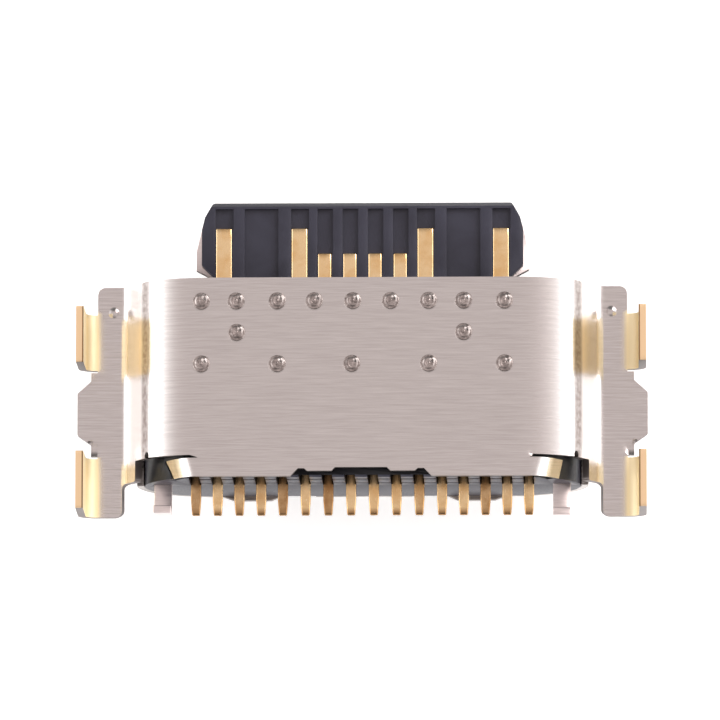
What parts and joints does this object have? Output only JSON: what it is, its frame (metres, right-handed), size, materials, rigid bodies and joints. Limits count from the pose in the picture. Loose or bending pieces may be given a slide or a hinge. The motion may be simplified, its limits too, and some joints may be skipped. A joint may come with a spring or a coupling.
{
  "type": "usb-c socket",
  "caption": "Reversible charging and data socket for a phone board: oval metal mouth with a black tongue, formed bracket with wings and solder legs, and a row of gold tails.",
  "frame": {"origin": "centre of the bounding box in x and y, at the outer face of the far-side cover that it lies on", "axes": "+X along the long side of the mouth, +Y out of the mouth along the tongue, +Z towards the board, up from the far-side cover to the tips of the solder legs"},
  "size_m": [0.0114, 0.0064, 0.0032],
  "materials": {
    "bracket_nickel": "nickel-plated sheet, brushed across, gold-plated on the legs",
    "tube_steel": "drawn, smooth",
    "cover_steel": "brushed",
    "latch_steel": "stamped",
    "pad_steel": "stamped",
    "moulding_black": "fine moulded",
    "carrier_black": "fine moulded",
    "contact_gold": "copper alloy with gold plating"
  },
  "bodies": {
    "root": {"bracket": "bracket_nickel", "tube": "tube_steel", "cover": "cover_steel", "housing": "moulding_black", "upper_carrier": "carrier_black", "lower_carrier": "carrier_black", "latch_plate": "latch_steel", "upper_pad": "pad_steel", "lower_pad": "pad_steel", "contact_a1": "contact_gold", "contact_a4": "contact_gold", "contact_a5": "contact_gold", "contact_a6": "contact_gold", "contact_a7": "contact_gold", "contact_a8": "contact_gold", "contact_a9": "contact_gold", "contact_a12": "contact_gold", "contact_b12": "contact_gold", "contact_b9": "contact_gold", "contact_b8": "contact_gold", "contact_b7": "contact_gold", "contact_b6": "contact_gold", "contact_b5": "contact_gold", "contact_b4": "contact_gold", "contact_b1": "contact_gold"}
  },
  "joints": []
}
